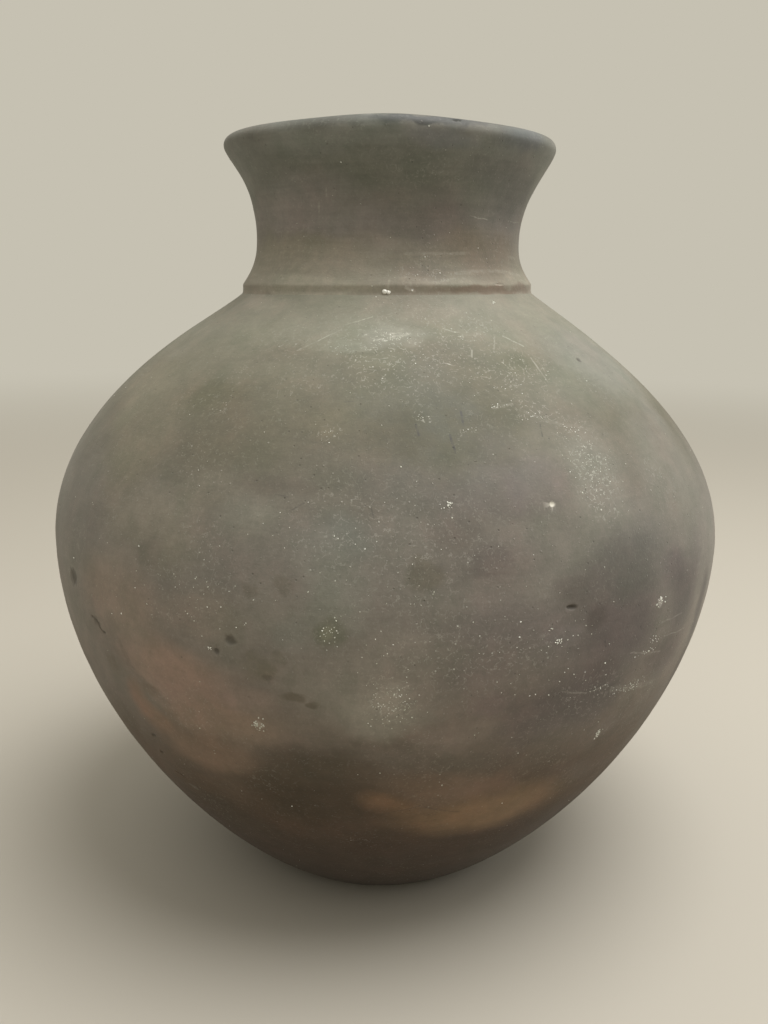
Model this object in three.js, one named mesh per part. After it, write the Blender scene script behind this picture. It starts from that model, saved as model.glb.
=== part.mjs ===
// Raku vase: a thrown round body, and a thrown flaring neck luted onto its flat rim at the ledge.
// Millimetres, +Z up along the wheel's axis. The origin is the middle of the foot, on the table.
// A slope is in degrees from level, and over 90 it leans in. A run is the share of a stretch's height
// over which the outline holds its direction at that end.
import * as THREE from "three";

// Body, outside
const footRadius = 56; // edge of the flat underside
const footBevel = 1.6; // trimmed edge round the foot
const footSlope = 36;
const footRun = 0.265;
const bellyRadius = 140; // widest part of the vase
const bellyHeight = 149;
const bellyRunDown = 0.443;
const bellyRunUp = 0.554;
const shoulderRise = 98.5; // from the belly up to the neck's seat
const shoulderSlope = 140;
const shoulderRun = 0.178;

// Body, inside
const floorThickness = 10;
const floorCorner = 12; // rounding between floor and wall
const lowWall = 9; // wall above the floor, thicker to carry the belly
const highWall = 7; // wall from the belly up

// Seat of the neck on the body: a flat ring of clay on each piece
const boreRadius = 51.8; // the opening through the seat
const seatWidth = 8.2;

// Neck
const ledgeOverhang = 0.3; // of the ledge past the shoulder
const ledgeHeight = 3;
const ledgeArris = 0.5; // worn upper edge of the ledge
const ledgeSlope = 126;
const ledgeRun = 0.41;
const throatRadius = 54.3; // narrowest part, outside
const throatRise = 17.3; // above the ledge
const throatRunDown = 0.43;
const throatRunUp = 0.57;
const neckWall = 6.4;
const flareRise = 36; // from the throat to the lip's widest point
const flareSlope = 72; // of the wall under the lip
const flareRun = 0.18;
const lipRadius = 67.2; // widest part of the lip
const lipThickness = 8;
const lipRound = 3.5; // rounding of the lip's outer edge
const lipInnerRound = 3; // and of its inner edge

// Steps round the wheel's axis, and along the curves of a profile
const turns = 60;
const longCurve = 13;
const shortCurve = 5;
const smallRounding = 3;

const seatHeight = bellyHeight + shoulderRise;
const seatRadius = boreRadius + seatWidth;
const upright = 90;

const at = (r, z) => new THREE.Vector2(r, z);
const radians = (degrees) => (degrees * Math.PI) / 180;
const direction = (degrees) => at(Math.cos(radians(degrees)), Math.sin(radians(degrees)));

// A curve up the wall from one point and slope to another. It holds each slope for a share of its height.
function wallCurve(from, fromSlope, fromRun, to, toSlope, toRun) {
  const rise = to.y - from.y;
  return new THREE.CubicBezierCurve(
    from,
    from.clone().addScaledVector(direction(fromSlope), fromRun * rise),
    to.clone().addScaledVector(direction(toSlope), -toRun * rise),
    to,
  );
}

// The point of a wall's inside face straight across from its outside point at t.
function across(curve, t, wall) {
  const outside = curve.getPoint(t);
  const run = curve.getTangent(t);
  return at(outside.x - run.y * wall, outside.y + run.x * wall);
}

// Points from a to b, with the corner between them rounded off.
function rounded(a, corner, b, steps) {
  return new THREE.QuadraticBezierCurve(a, corner, b).getPoints(steps);
}

// One closed piece, turned on the wheel from its profile of radii and heights.
function thrown(name, profile, color, roughness) {
  const shape = new THREE.LatheGeometry(profile, turns);
  shape.rotateX(Math.PI / 2);
  const clay = new THREE.MeshStandardMaterial({ name, color, roughness, metalness: 0 });
  const piece = new THREE.Mesh(shape, clay);
  piece.name = name;
  return piece;
}

// From the middle of the underside up the outside to the seat, then down the inside to the floor.
function bodyProfile() {
  const foot = at(footRadius, 0);
  const belly = at(bellyRadius, bellyHeight);
  const rim = at(seatRadius, seatHeight);
  const lower = wallCurve(foot, footSlope, footRun, belly, upright, bellyRunDown);
  const upper = wallCurve(belly, upright, bellyRunUp, rim, shoulderSlope, shoulderRun);

  const outside = [
    at(0, 0),
    at(footRadius - footBevel, 0),
    foot.clone().addScaledVector(direction(footSlope), footBevel),
    ...lower.getPoints(longCurve).slice(1),
    ...upper.getPoints(longCurve).slice(1),
  ];

  const inside = [];
  for (let step = longCurve - 1; step > 0; step--) {
    inside.push(across(upper, step / longCurve, highWall));
  }
  for (let step = longCurve; step > 2; step--) {
    const t = step / longCurve;
    inside.push(across(lower, t, THREE.MathUtils.lerp(lowWall, highWall, t)));
  }

  // The inside wall runs straight on from its last two points to the corner with the floor.
  const [above, last] = inside.slice(-2);
  const down = last.clone().sub(above);
  const corner = last.clone().addScaledVector(down, (floorThickness - last.y) / down.y);
  const shoulder = inside[0];
  return [
    ...outside,
    ...rounded(at(boreRadius, seatHeight), at(boreRadius, shoulder.y), shoulder, smallRounding),
    ...inside.slice(1),
    ...rounded(last, corner, at(corner.x - floorCorner, floorThickness), shortCurve).slice(1),
    at(0, floorThickness),
  ];
}

// From the seat up the outside to the lip, and down the inside back to the seat.
function neckProfile() {
  const ledgeTop = at(seatRadius + ledgeOverhang, seatHeight + ledgeHeight);
  const throat = at(throatRadius, ledgeTop.y + throatRise);
  const lipMiddle = at(lipRadius - lipRound, throat.y + flareRise);
  const lipTop = lipMiddle.y + lipRound;
  const lipPoint = (degrees) => lipMiddle.clone().addScaledVector(direction(degrees), lipRound);

  // The lip's round takes over from the flare where both have the same slope.
  const lipStart = flareSlope - upright;
  const root = wallCurve(ledgeTop, ledgeSlope, ledgeRun, throat, upright, throatRunDown);
  const flare = wallCurve(throat, upright, throatRunUp, lipPoint(lipStart), flareSlope, flareRun);

  const outside = [
    at(boreRadius, seatHeight),
    at(ledgeTop.x, seatHeight),
    at(ledgeTop.x, ledgeTop.y - ledgeArris),
    ledgeTop.clone().addScaledVector(direction(ledgeSlope), ledgeArris),
    ...root.getPoints(shortCurve).slice(1),
    ...flare.getPoints(longCurve).slice(1),
  ];
  for (let step = 1; step <= shortCurve; step++) {
    outside.push(lipPoint(THREE.MathUtils.lerp(lipStart, upright, step / shortCurve)));
  }

  const lipInside = lipRadius - lipThickness;
  const inside = rounded(
    at(lipInside + lipInnerRound, lipTop),
    at(lipInside, lipTop),
    at(lipInside, lipTop - lipInnerRound),
    smallRounding,
  );
  for (let step = longCurve - 3; step > 0; step--) {
    inside.push(across(flare, step / longCurve, neckWall));
  }
  const narrow = across(flare, 0, neckWall);
  const bore = at(boreRadius, seatHeight);
  inside.push(...rounded(narrow, at(narrow.x, ledgeTop.y), bore, shortCurve));
  return [...outside, ...inside];
}

const vase = new THREE.Group();
vase.name = "raku_vase";
vase.add(thrown("body", bodyProfile(), 0x77705f, 0.8));
vase.add(thrown("neck", neckProfile(), 0x5e5a4c, 0.82));

export default vase;
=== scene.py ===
import math
import random

import bmesh
import bpy
from mathutils import Matrix, Vector, noise
from mathutils.bvhtree import BVHTree
from mathutils.geometry import interpolate_bezier
from mathutils.kdtree import KDTree


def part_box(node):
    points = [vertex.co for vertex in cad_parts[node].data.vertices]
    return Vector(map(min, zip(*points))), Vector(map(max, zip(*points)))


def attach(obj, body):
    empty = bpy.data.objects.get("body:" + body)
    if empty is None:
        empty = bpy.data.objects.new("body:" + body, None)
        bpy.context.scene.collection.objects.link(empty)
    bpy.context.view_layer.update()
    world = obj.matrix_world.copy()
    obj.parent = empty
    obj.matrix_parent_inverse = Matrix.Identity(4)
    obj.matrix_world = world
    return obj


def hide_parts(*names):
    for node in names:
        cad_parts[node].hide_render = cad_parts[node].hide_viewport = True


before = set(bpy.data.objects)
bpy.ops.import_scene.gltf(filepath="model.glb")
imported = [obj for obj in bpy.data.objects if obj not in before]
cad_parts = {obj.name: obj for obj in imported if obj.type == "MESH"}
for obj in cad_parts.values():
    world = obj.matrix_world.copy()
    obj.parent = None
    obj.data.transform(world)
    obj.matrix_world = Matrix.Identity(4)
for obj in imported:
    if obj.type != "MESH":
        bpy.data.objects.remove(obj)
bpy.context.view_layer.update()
print("frame loaded:", sorted(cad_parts))

mm = 0.001
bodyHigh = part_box("body")[1]
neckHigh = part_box("neck")[1]
seatHeight = bodyHigh.z  # where the neck sits on the body
bellyRadius = bodyHigh.x
lipRadius = neckHigh.x
lipTop = neckHigh.z

# Camera, at the photograph's viewing angle
cameraSetup = {
    "distance": 414 * mm,  # in front of the vase's axis
    "height": 252.2 * mm,
    "lookDown": 13.7,  # degrees
    "roll": 0.84,
    "focalPixels": 950,
    "imageSize": (768, 1024),
    "sensor": 36,
    "nearest": 0.01,
    "farthest": 50,
}


def makeCamera():
    setup = cameraSetup
    data = bpy.data.cameras.new("camera")
    data.sensor_width = setup["sensor"]
    data.lens = setup["focalPixels"] / max(setup["imageSize"]) * setup["sensor"]
    data.clip_start = setup["nearest"]
    data.clip_end = setup["farthest"]
    camera = bpy.data.objects.new("camera", data)
    bpy.context.scene.collection.objects.link(camera)
    bpy.context.scene.camera = camera
    camera.matrix_world = (
        Matrix.Translation((0, -setup["distance"], setup["height"]))
        @ Matrix.Rotation(math.radians(90 - setup["lookDown"]), 4, "X")
        @ Matrix.Rotation(math.radians(setup["roll"]), 4, "Z")
    )
    return camera


camera = makeCamera()


def lineOfSight(pixel):
    # from the camera through a pixel of the 768 by 1024 photograph
    width, height = cameraSetup["imageSize"]
    across, up = pixel[0] - width / 2, height / 2 - pixel[1]
    direction = camera.matrix_world.to_3x3() @ Vector((across, up, -cameraSetup["focalPixels"]))
    return camera.matrix_world.translation, direction.normalized()


# Profiles, in the plane of the wheel's axis
cornerPull = 0.6  # how far a rounding reaches towards its corner


def slopeDirection(degrees):
    # degrees from level, and over 90 it leans in
    return Vector((math.cos(math.radians(degrees)), 0, math.sin(math.radians(degrees))))


def wallCurve(start, startSlope, startRun, end, endSlope, endRun, steps):
    # each run is the share of the stretch's height that keeps its slope
    rise = end.z - start.z
    leave = start + slopeDirection(startSlope) * startRun * rise
    arrive = end - slopeDirection(endSlope) * endRun * rise
    return interpolate_bezier(start, leave, arrive, end, steps + 1)


def straightAcross(outside, lowWall, highWall):
    # inside points, one for each outside point but the two ends
    inside = []
    for index in range(1, len(outside) - 1):
        along = (outside[index + 1] - outside[index - 1]).normalized()
        wall = lowWall + (highWall - lowWall) * index / (len(outside) - 1)
        inside.append(outside[index] + Vector((-along.z, 0, along.x)) * wall)
    return inside


def rounding(start, corner, end, steps):
    leave = start.lerp(corner, cornerPull)
    arrive = end.lerp(corner, cornerPull)
    return interpolate_bezier(start, leave, arrive, end, steps + 1)


# The potter's hand: slow wander of the wall, throwing lines, and a lip and ledge that aren't quite level
handSizes = {
    "wander": 0.4 * mm,
    "wanderLength": 85 * mm,
    "wanderStart": 20 * mm,  # from the axis to where the wander is in full
    "outsideLine": 0.07 * mm,
    "linePitch": 6 * mm,
    "lineWaver": 4,  # per metre round the wall
    "insideRing": 0.45 * mm,
    "ringPitch": 15 * mm,
    "ledgeClimb": 0.0147,  # rise of the ledge for each unit across
    "climbReach": 12 * mm,
    # where the wall leans to the right: height, shift and reach
    "leans": ((149 * mm, 0.6 * mm, 42 * mm), (292 * mm, 0.7 * mm, 11 * mm)),
    "lipRise": -0.38 * mm,
    "lipTilt": 0.08 * mm,
    # where the lip rises: azimuth, reach in degrees and height
    "lipCrowns": ((0, 21, 1.22 * mm), (92, 22, 0.5 * mm), (-95, 15, 0.25 * mm)),
    "lipReach": 16 * mm,
}


def byHand(point, inside):
    hand = handSizes
    radius = math.hypot(point.x, point.y)
    if radius < 1 * mm:
        return point
    outward = Vector((point.x / radius, point.y / radius, 0))
    push = hand["wander"] * noise.noise(point / hand["wanderLength"] + Vector((3.1, 7.7, 1.9)))
    if inside:
        turn = math.atan2(point.y, point.x) / math.tau
        push += hand["insideRing"] * math.sin(math.tau * (point.z / hand["ringPitch"] + turn))
    else:
        waver = hand["lineWaver"]
        lines = Vector((point.x * waver, point.y * waver, point.z / hand["linePitch"]))
        push += hand["outsideLine"] * noise.noise(lines)
    push *= min(1, radius / hand["wanderStart"])

    fromLedge = (point.z - seatHeight) / hand["climbReach"]
    lift = hand["ledgeClimb"] * point.x * math.exp(-fromLedge * fromLedge / 2)
    towardsLip = max(0, 1 - (lipTop - point.z) / hand["lipReach"])
    azimuth = math.degrees(math.atan2(point.x, -point.y))
    crown = hand["lipRise"] + hand["lipTilt"] * outward.x
    for middle, reach, height in hand["lipCrowns"]:
        fromMiddle = (azimuth - middle) / reach
        crown += height * math.exp(-fromMiddle * fromMiddle)
    lift += crown * towardsLip
    lean = 0
    for height, shift, reach in hand["leans"]:
        fromLean = (point.z - height) / reach
        lean += shift * math.exp(-fromLean * fromLean)
    return point + outward * push + Vector((lean, 0, lift))


def thrown(profile, turns):
    # spins a profile round the wheel's axis into one closed wall
    shape = bmesh.new()
    points = [shape.verts.new(place) for place in profile]
    lines = [shape.edges.new(pair) for pair in zip(points, points[1:])]
    bmesh.ops.spin(
        shape,
        geom=points + lines,
        cent=(0, 0, 0),
        axis=(0, 0, 1),
        angle=math.tau,
        steps=turns,
        use_merge=True,
    )
    bmesh.ops.remove_doubles(shape, verts=shape.verts, dist=0.005 * mm)
    bmesh.ops.recalc_face_normals(shape, faces=shape.faces)
    shape.normal_update()
    return shape


def facesInward(face):
    centre = face.calc_center_median()
    return centre.x * face.normal.x + centre.y * face.normal.y < 0


# The thrown body: one smooth curve up to the belly, and one from there in to the seat
bodySizes = {
    "footRadius": 56 * mm,
    "footBevel": 1.6 * mm,
    "footSlope": 36,
    "footRun": 0.265,
    "bellyHeight": 149 * mm,
    "bellyRunDown": 0.443,
    "bellyRunUp": 0.554,
    "shoulderSlope": 140,
    "shoulderRun": 0.178,
    "seatRadius": 60 * mm,
    "boreRadius": 51.8 * mm,
    "floor": 10 * mm,
    "floorCorner": 12 * mm,
    "lowWall": 9 * mm,
    "highWall": 7 * mm,
    "insideStart": 6 * mm,  # of the wall's inside above the floor
    "lowerSteps": 84,
    "upperSteps": 66,
    "flatSteps": 8,  # across the underside and the floor
    "footSteps": 4,
    "boreFrom": 4,  # the bore's rounding ends at this point of the wall's inside
    "boreSteps": 5,
    "cornerSteps": 8,
    "turns": 320,
}


def bodyProfile():
    size = bodySizes
    foot = Vector((size["footRadius"], 0, 0))
    belly = Vector((bellyRadius, 0, size["bellyHeight"]))
    seat = Vector((size["seatRadius"], 0, seatHeight))
    lower = wallCurve(
        foot, size["footSlope"], size["footRun"], belly, 90, size["bellyRunDown"], size["lowerSteps"]
    )
    upper = wallCurve(
        belly, 90, size["bellyRunUp"], seat, size["shoulderSlope"], size["shoulderRun"], size["upperSteps"]
    )
    footEdge = rounding(foot - Vector((size["footBevel"], 0, 0)), foot, lower[1], size["footSteps"])
    flat = size["flatSteps"]
    underside = [Vector((size["footRadius"] * share / flat, 0, 0)) for share in range(flat)]

    upperInside = straightAcross(upper, size["highWall"], size["highWall"])[::-2]
    lowerInside = straightAcross(lower, size["lowWall"], size["highWall"])[::-2]
    lowerInside = [point for point in lowerInside if point.z > size["floor"] + size["insideStart"]]
    bore = Vector((size["boreRadius"], 0, seatHeight))
    boreFrom = size["boreFrom"]
    boreCorner = Vector((size["boreRadius"], 0, upperInside[boreFrom - 1].z))
    boreEdge = rounding(bore, boreCorner, upperInside[boreFrom], size["boreSteps"])
    last, before = lowerInside[-1], lowerInside[-2]
    down = last - before
    corner = last + down * ((size["floor"] - last.z) / down.z)
    floorEdge = Vector((corner.x - size["floorCorner"], 0, size["floor"]))
    floor = [Vector((floorEdge.x * share / flat, 0, size["floor"])) for share in reversed(range(flat))]
    return (
        underside
        + footEdge
        + lower[2:]
        + upper[1:]
        + boreEdge
        + upperInside[boreFrom + 1 :]
        + lowerInside[:-1]
        + rounding(last, corner, floorEdge, size["cornerSteps"])
        + floor
    )


# The thrown neck: ledge, throat, flare and lip
neckSizes = {
    "ledgeRadius": 60.3 * mm,
    "ledgeHeight": 3.2 * mm,
    "ledgeArris": 0.45 * mm,
    "arrisReach": 0.6,  # share of the first step of the wall above
    "ledgeSlope": 126,
    "ledgeRun": 0.41,
    "slipReach": 0.9 * mm,  # of the wiped slip under the ledge, out over the shoulder
    "slipRise": 1.0 * mm,
    "slipSunk": 0.06 * mm,
    "throatRadius": 54.3 * mm,
    "throatRise": 17.1 * mm,
    "throatRunDown": 0.43,
    "throatRunUp": 0.57,
    "flareSlope": 72,
    "flareRun": 0.18,
    "wall": 6.4 * mm,
    "lipThickness": 8 * mm,
    "lipRound": 3.5 * mm,
    "lipInnerRound": 3 * mm,
    "insideEnd": 9 * mm,  # of the wall's inside below the lip
    "seatSteps": 4,
    "slipSteps": 5,
    "ledgeSteps": 5,
    "arrisSteps": 3,
    "rootSteps": 16,
    "flareSteps": 44,
    "lipSteps": 14,
    "lipEdgeSteps": 7,
    "boreSteps": 12,
    "turns": 288,
}


def neckProfile():
    size = neckSizes
    ledge = Vector((size["ledgeRadius"], 0, seatHeight + size["ledgeHeight"]))
    throat = Vector((size["throatRadius"], 0, ledge.z + size["throatRise"]))
    lipMiddle = Vector((lipRadius - size["lipRound"], 0, lipTop - size["lipRound"]))
    lipStart = size["flareSlope"] - 90
    flareEnd = lipMiddle + slopeDirection(lipStart) * size["lipRound"]
    root = wallCurve(
        ledge, size["ledgeSlope"], size["ledgeRun"], throat, 90, size["throatRunDown"], size["rootSteps"]
    )
    flare = wallCurve(
        throat, 90, size["throatRunUp"], flareEnd, size["flareSlope"], size["flareRun"], size["flareSteps"]
    )
    seatOuter = Vector((bodySizes["seatRadius"], 0, seatHeight))
    seatInner = Vector((bodySizes["boreRadius"], 0, seatHeight))
    seatSteps, ledgeSteps, lipSteps = size["seatSteps"], size["ledgeSteps"], size["lipSteps"]
    seatRing = [seatInner.lerp(seatOuter, step / seatSteps) for step in range(seatSteps + 1)]
    ledgeFoot = Vector((size["ledgeRadius"], 0, seatHeight))
    slipTop = ledgeFoot + Vector((0, 0, size["slipRise"]))
    slipToe = seatOuter - slopeDirection(bodySizes["shoulderSlope"]) * size["slipReach"]
    slipToe.z -= size["slipSunk"]
    slip = rounding(slipToe, ledgeFoot, slipTop, size["slipSteps"])
    ledgeFace = [slipTop.lerp(ledge, step / ledgeSteps) for step in range(1, ledgeSteps - 1)]
    arrisFoot = ledge - Vector((0, 0, size["ledgeArris"]))
    arris = rounding(arrisFoot, ledge, ledge.lerp(root[1], size["arrisReach"]), size["arrisSteps"])
    lip = [
        lipMiddle + slopeDirection(lipStart + (90 - lipStart) * step / lipSteps) * size["lipRound"]
        for step in range(1, lipSteps + 1)
    ]
    lipInside = lipRadius - size["lipThickness"]
    lipEdge = rounding(
        Vector((lipInside + size["lipInnerRound"], 0, lipTop)),
        Vector((lipInside, 0, lipTop)),
        Vector((lipInside, 0, lipTop - size["lipInnerRound"])),
        size["lipEdgeSteps"],
    )
    inside = straightAcross(flare, size["wall"], size["wall"])[::-2]
    inside = [point for point in inside if point.z < lipTop - size["insideEnd"]]
    narrow = Vector((size["throatRadius"] - size["wall"], 0, throat.z))
    bore = rounding(narrow, Vector((narrow.x, 0, ledge.z)), seatInner, size["boreSteps"])
    return seatRing + slip + ledgeFace + arris + root[1:] + flare[1:] + lip + lipEdge + inside + bore


def shapeByHand(shape):
    shape.normal_update()
    moved = {}
    for vert in shape.verts:
        inside = all(facesInward(face) for face in vert.link_faces)
        moved[vert] = byHand(vert.co.copy(), inside)
    for vert, place in moved.items():
        vert.co = place
    shape.normal_update()


bodyShape = thrown(bodyProfile(), bodySizes["turns"])
shapeByHand(bodyShape)
neckShape = thrown(neckProfile(), neckSizes["turns"])
shapeByHand(neckShape)
walls = {"body": BVHTree.FromBMesh(bodyShape), "neck": BVHTree.FromBMesh(neckShape)}
print("walls thrown:", len(bodyShape.faces), "and", len(neckShape.faces), "faces")


def nearestHit(start, direction):
    # the first wall that a line meets: its name, the point and the outward normal
    found = []
    for name, tree in walls.items():
        point, normal, _, distance = tree.ray_cast(start, direction)
        if point:
            found.append((distance, name, point, normal))
    if not found:
        raise ValueError("this line misses the vase")
    distance, name, point, normal = min(found)
    return name, point, normal


def seenAt(pixel):
    return nearestHit(*lineOfSight(pixel))


def standingAt(azimuth, height):
    # azimuth 0 is the side that faces the camera, and 90 the right side
    turn = math.radians(azimuth)
    outward = Vector((math.sin(turn), -math.cos(turn), 0))
    return nearestHit(outward + Vector((0, 0, height)), -outward)


def surfaceAxes(normal):
    # across and up, along the surface
    up = (Vector((0, 0, 1)) - normal * normal.z).normalized()
    return up.cross(normal), up


def placeOf(where):
    # a mark is placed by a pixel of the photograph, or by azimuth and height where it doesn't show
    return standingAt(*where[1:]) if where[0] == "round" else seenAt(where)


# Pits and chips: where, half width and half height in mm, turn in degrees, depth in mm, soot and chalk
pits = {
    "deepPit": ((229.6, 640.4), 2.4, 2.2, 0, 0.9, 0.45, 0),
    "smallPit": ((216.5, 651), 1.4, 1.4, 20, 0.6, 0.6, 0),
    "sharpPit": ((571.3, 607.4), 2.3, 1.0, -6, 0.8, 0.7, 0),
    "edgePit": ((73.7, 577), 4.4, 3.9, 0, 0.8, 0.5, 0),
    "paleChip": ((552.3, 503.9), 1.15, 1.0, 25, 0.4, 0, 0.68),
    "ledgeChip": ((500, 284.5), 2.6, 0.5, 0, 0.3, 0, 0.2),
    "lipNick": ((457, 120.5), 2.2, 0.9, 0, 0.6, 0.15, 0),
    "lowDent": ((154, 735), 2.4, 1.0, 25, 0.4, 0.5, 0),
    "lowerDent": ((162, 752), 1.8, 0.9, 25, 0.4, 0.5, 0),
    "softSpot": ((267, 678), 2.0, 1.3, 0, 0.15, 0.3, 0),
    "shoulderPit": ((579, 360), 1.5, 1.2, 0, 0.4, 0.6, 0),
    "roundPitBehind": (("round", 196, 0.172), 2.0, 1.7, 0, 0.8, 0.7, 0),
    "longPitBehind": (("round", 158, 0.128), 2.6, 1.1, -20, 0.7, 0.85, 0),
    "chipBehind": (("round", 222, 0.206), 1.6, 1.3, 0, 0.5, 0, 0.9),
    "pitLeft": (("round", 274, 0.150), 1.7, 1.4, 15, 0.7, 0.8, 0),
    "pitLeftLow": (("round", 262, 0.098), 1.2, 1.1, 0, 0.5, 0.7, 0),
    "pitRight": (("round", 97, 0.118), 2.0, 1.6, 0, 0.7, 0.75, 0),
    "chipRight": (("round", 118, 0.190), 1.2, 1.0, 0, 0.4, 0, 0.9),
}
# Cracks: corner points, half width and depth in mm, and soot
cracks = {
    "leftCrack": (((92, 616), (97, 621.5), (101.5, 630.5), (106, 633.5)), 0.5, 0.5, 0.65),
    "lowCrack": (((176, 771), (186, 777)), 0.5, 0.3, 0.6),
    "crackBehind": ((("round", 205, 0.112), ("round", 202, 0.106), ("round", 203, 0.098)), 0.6, 0.5, 0.85),
}
pitSizes = {
    "fineCuts": 5,  # new edges across each face round a mark
    "reach": 1.4,
    "rim": 1.6 * mm,
    "crackStep": 0.7 * mm,
    "ragged": 0.3,  # share by which a mark's outline wanders
    "raggedLength": 1.6 * mm,
    "bowl": 1.3,  # over 1 makes the edge softer
    "stain": 2.5,  # how fast soot and chalk set in from the edge
}


def marksToCut():
    # every hollow as wall, centre, normal, half sizes, turn, depth, soot and chalk
    marks = []
    for where, width, height, turn, depth, soot, chalk in pits.values():
        marks.append((*placeOf(where), width * mm, height * mm, turn, depth * mm, soot, chalk))
    for corners, width, depth, soot in cracks.values():
        places = [placeOf(where) for where in corners]
        for (wall, start, _), (_, end, _) in zip(places, places[1:]):
            steps = math.ceil((end - start).length / pitSizes["crackStep"])
            for step in range(steps):
                _, point, normal = nearestTo(wall, start.lerp(end, step / steps))
                marks.append((wall, point, normal, width * mm, width * mm, 0, depth * mm, soot, 0))
    return marks


def nearestTo(wall, place):
    point, normal, _, _ = walls[wall].find_nearest(place)
    return wall, point, normal


strokeStep = 8 * mm  # the longest straight piece of a stroke


def alongWall(start, end):
    # points on the wall from one place to another, so near each other that straight strokes stay on it
    wall, first, _ = start
    steps = math.ceil((end[1] - first).length / strokeStep)
    return [nearestTo(wall, first.lerp(end[1], step / steps))[1] for step in range(steps + 1)]


def vertsNear(shape, marks):
    # the vertices round each mark
    tree = KDTree(len(shape.verts))
    for index, vert in enumerate(shape.verts):
        tree.insert(vert.co, index)
    tree.balance()
    shape.verts.ensure_lookup_table()
    found = []
    for mark in marks:
        reach = max(mark[3], mark[4]) * pitSizes["reach"] + pitSizes["rim"]
        found.append([shape.verts[index] for _, index, _ in tree.find_range(mark[1], reach)])
    return found


def cutMarks(shape, marks):
    # the faces round the marks are divided, and the hollows are pressed into them
    sooty = shape.verts.layers.float.new("soot")
    chalky = shape.verts.layers.float.new("chalk")
    size = pitSizes
    near = set()
    for verts in vertsNear(shape, marks):
        near.update(edge for vert in verts for edge in vert.link_edges if edge.other_vert(vert) in verts)
    bmesh.ops.subdivide_edges(shape, edges=list(near), cuts=size["fineCuts"], use_grid_fill=True)
    found = vertsNear(shape, marks)
    for (_, centre, normal, width, height, turn, depth, soot, chalk), verts in zip(marks, found):
        side, up = surfaceAxes(normal)
        bend = math.radians(turn)
        along = side * math.cos(bend) + up * math.sin(bend)
        over = up * math.cos(bend) - side * math.sin(bend)
        for vert in verts:
            offset = vert.co - centre
            spread = math.hypot(offset.dot(along) / width, offset.dot(over) / height)
            spread *= 1 + size["ragged"] * noise.noise(vert.co / size["raggedLength"])
            if spread < 1:
                vert.co -= normal * depth * (1 - spread * spread) ** size["bowl"]
                shown = min(1, (1 - spread) * size["stain"])
                vert[sooty] = max(vert[sooty], soot * shown)
                vert[chalky] = max(vert[chalky], chalk * shown)
    bmesh.ops.triangulate(shape, faces=[face for face in shape.faces if len(face.verts) > 4])
    shape.normal_update()


shapes = {"body": bodyShape, "neck": neckShape}
allMarks = marksToCut()
for wall, shape in shapes.items():
    cutMarks(shape, [mark for mark in allMarks if mark[0] == wall])
print("marks cut:", len(allMarks))


# Shader maths
def maths(operation, first, second):
    return Link.node("ShaderNodeMath", {"operation": operation}, {0: first, 1: second})


class Link:
    # one socket of a node; + - * and / on it add Math nodes, also as 1 - mask
    tree = None

    def __init__(self, socket):
        self.socket = socket

    def __add__(self, other):
        return maths("ADD", self, other)

    def __sub__(self, other):
        return maths("SUBTRACT", self, other)

    def __mul__(self, other):
        return maths("MULTIPLY", self, other)

    def __truediv__(self, other):
        return maths("DIVIDE", self, other)

    def __rsub__(self, other):
        return maths("SUBTRACT", other, self)

    def __rtruediv__(self, other):
        return maths("DIVIDE", other, self)

    __radd__ = __add__
    __rmul__ = __mul__

    def output(self, name):
        # another output of the same node
        return Link(self.socket.node.outputs[name])

    @classmethod
    def node(cls, kind, settings=None, sockets=None, output=0):
        made = cls.tree.nodes.new(kind)
        for name, value in (settings or {}).items():
            if name == "stops":
                ramp = made.color_ramp.elements
                while len(ramp) < len(value):
                    ramp.new(0.5)
                for stop, (position, colour) in zip(ramp, value):
                    stop.position = position
                    stop.color = colour
            else:
                setattr(made, name, value)
        for name, value in (sockets or {}).items():
            socket = made.inputs[name]
            if isinstance(value, Link):
                cls.tree.links.new(value.socket, socket)
            else:
                socket.default_value = value
        return cls(made.outputs[output])


def vectorMaths(operation, first, second, output=0):
    return Link.node("ShaderNodeVectorMath", {"operation": operation}, {0: first, 1: second}, output)


def blendColour(share, under, over, way="MIX"):
    return Link.node(
        "ShaderNodeMix", {"data_type": "RGBA", "blend_type": way}, {0: share, 6: under, 7: over}, 2
    )


def rise(value, low, high, bottom=0.0, top=1.0):
    # soft step from bottom to top; it needs no clamp, and clamps on hundreds of them would be too
    # much for Cycles, which then shows the material black
    return Link.node(
        "ShaderNodeMapRange",
        {"interpolation_type": "SMOOTHSTEP", "clamp": False},
        {"Value": value, "From Min": low, "From Max": high, "To Min": bottom, "To Max": top},
    )


def noiseAt(place, size, detail=2.0, roughness=0.5):
    # cloudy noise about 0.5, with features of about that size
    sockets = {"Vector": place, "Scale": 1 / size, "Detail": detail, "Roughness": roughness}
    return Link.node("ShaderNodeTexNoise", {}, sockets)


def stretched(place, scale):
    return vectorMaths("MULTIPLY", place, scale)


def warped(place, size, amount):
    # bends a pattern so that its outlines wander
    drift = noiseAt(place, size, 3.0).output("Color")
    centred = vectorMaths("SUBTRACT", drift, (0.5, 0.5, 0.5))
    return vectorMaths("ADD", place, stretched(centred, (amount, amount, amount)))


def grey(value):
    return Link.node("ShaderNodeCombineColor", {}, {"Red": value, "Green": value, "Blue": value})


def tint(red, green, blue):
    # a colour in thousandths of full light
    return (red / 1000, green / 1000, blue / 1000, 1)


def cloud(place, where, across, up, edge, strength):
    # full strength in the middle, fading out between the edge and the cloud's rim, with the reach in mm
    scale = Vector((1 / (across * mm), 1 / (across * mm), 1 / (up * mm)))
    centre = placeOf(where)[1]
    distance = vectorMaths("DISTANCE", stretched(place, scale), centre * scale, output="Value")
    return rise(distance, 1.0, edge, 0.0, strength)


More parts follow.
